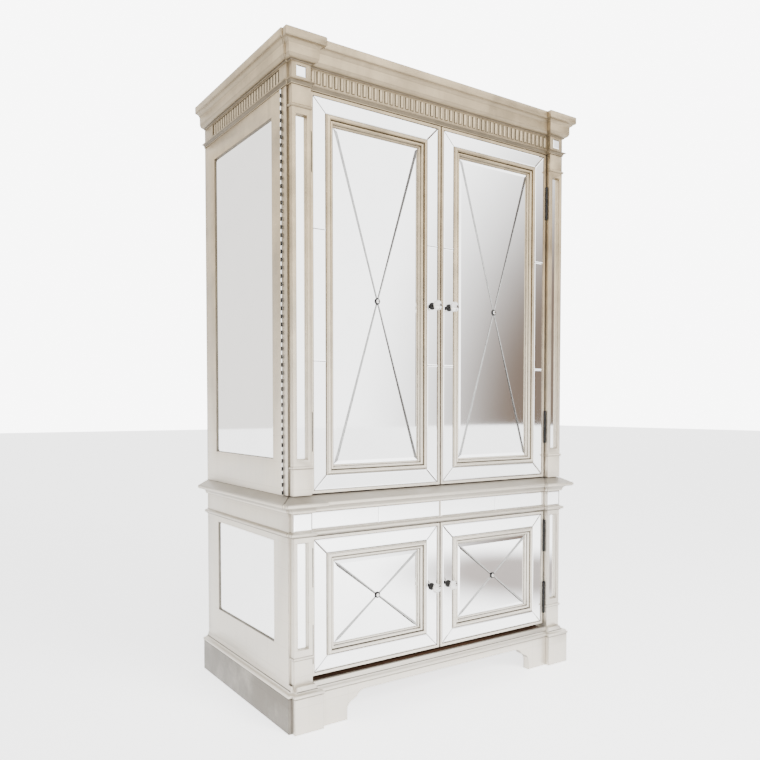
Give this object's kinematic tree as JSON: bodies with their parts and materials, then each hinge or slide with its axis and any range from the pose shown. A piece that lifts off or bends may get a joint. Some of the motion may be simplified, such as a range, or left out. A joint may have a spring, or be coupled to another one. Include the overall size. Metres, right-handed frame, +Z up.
{
  "type": "armoire",
  "caption": "Two-part armoire with stepped cornice, reeded frieze, mirrored sides, folding pilasters with tall mirrored doors above and square mirrored doors below.",
  "frame": {"origin": "bottom centre of the whole object's box, on the floor", "axes": "+Z up, front towards -Y, +X to the right of someone facing the front"},
  "size_m": [1.296, 0.751, 2.172],
  "materials": {
    "silver_leaf": "aged champagne silver leaf over brown, satin",
    "mirror_glass": "silvered, bevelled edges",
    "case_wood": "dark stained, satin",
    "black_hinge": "black oxide, satin",
    "bright_steel": "nickel plated, brushed",
    "knob_metal": "polished nickel"
  },
  "bodies": {
    "carcass": {"crown_moulding": "silver_leaf", "dust_top": "case_wood", "frieze_board": "silver_leaf", "frieze_reeds": "silver_leaf", "frieze_corner_mirrors": "mirror_glass", "frieze_bead": "silver_leaf", "ceiling_board": "case_wood", "upper_side_frames": "silver_leaf", "side_mirrors": "mirror_glass", "back_panels": "case_wood", "upper_floor_board": "case_wood", "shelves": "case_wood", "shelf_cleats": "case_wood", "hanging_rail": "bright_steel", "waist_moulding": "silver_leaf", "lower_top_board": "silver_leaf", "lower_frieze_rail": "silver_leaf", "lower_frieze_mirrors": "mirror_glass", "lower_bead": "silver_leaf", "lower_side_frames": "silver_leaf", "lower_floor_board": "case_wood", "lower_pilasters": "silver_leaf", "lower_pilaster_mirrors": "mirror_glass", "base_cap_moulding": "silver_leaf", "plinth_front": "silver_leaf", "plinth_sides": "silver_leaf", "piano_hinge_case_leaves": "bright_steel", "lower_hinge_case_leaves": "black_hinge"},
    "left_pilaster_leaf": {"left_pilaster": "silver_leaf", "left_pilaster_mirror": "mirror_glass", "left_piano_hinge_leaf": "bright_steel", "left_butt_hinge_leaves": "black_hinge"},
    "right_pilaster_leaf": {"right_pilaster": "silver_leaf", "right_pilaster_mirror": "mirror_glass", "right_piano_hinge_leaf": "bright_steel", "right_butt_hinge_leaves": "black_hinge"},
    "upper_left_door": {"upper_left_door": "silver_leaf", "upper_left_border_mirrors": "mirror_glass", "upper_left_centre_mirror": "mirror_glass", "upper_left_rosette": "knob_metal", "upper_left_knob": "knob_metal", "upper_left_hinge_leaves": "black_hinge"},
    "upper_right_door": {"upper_right_door": "silver_leaf", "upper_right_border_mirrors": "mirror_glass", "upper_right_centre_mirror": "mirror_glass", "upper_right_rosette": "knob_metal", "upper_right_knob": "knob_metal", "upper_right_hinge_leaves": "black_hinge"},
    "lower_left_door": {"lower_left_door": "silver_leaf", "lower_left_border_mirrors": "mirror_glass", "lower_left_centre_mirror": "mirror_glass", "lower_left_rosette": "knob_metal", "lower_left_knob": "knob_metal", "lower_left_hinge_leaves": "black_hinge"},
    "lower_right_door": {"lower_right_door": "silver_leaf", "lower_right_border_mirrors": "mirror_glass", "lower_right_centre_mirror": "mirror_glass", "lower_right_rosette": "knob_metal", "lower_right_knob": "knob_metal", "lower_right_hinge_leaves": "black_hinge"}
  },
  "joints": [
    {"name": "left_pilaster_swing", "type": "hinge", "parent": "carcass", "child": "left_pilaster_leaf", "pos_m": [-0.611, -0.2785, 1.38], "axis": [0, 0, -1], "range_deg": [0, 180]},
    {"name": "right_pilaster_swing", "type": "hinge", "parent": "carcass", "child": "right_pilaster_leaf", "pos_m": [0.611, -0.2785, 1.38], "axis": [0, 0, 1], "range_deg": [0, 180]},
    {"name": "upper_left_door_swing", "type": "hinge", "parent": "left_pilaster_leaf", "child": "upper_left_door", "pos_m": [-0.529, -0.323, 1.38], "axis": [0, 0, -1], "range_deg": [0, 90]},
    {"name": "upper_right_door_swing", "type": "hinge", "parent": "right_pilaster_leaf", "child": "upper_right_door", "pos_m": [0.529, -0.323, 1.38], "axis": [0, 0, 1], "range_deg": [0, 90]},
    {"name": "lower_left_door_swing", "type": "hinge", "parent": "carcass", "child": "lower_left_door", "pos_m": [-0.529, -0.323, 0.38], "axis": [0, 0, -1], "range_deg": [0, 90]},
    {"name": "lower_right_door_swing", "type": "hinge", "parent": "carcass", "child": "lower_right_door", "pos_m": [0.529, -0.323, 0.38], "axis": [0, 0, 1], "range_deg": [0, 90]}
  ]
}
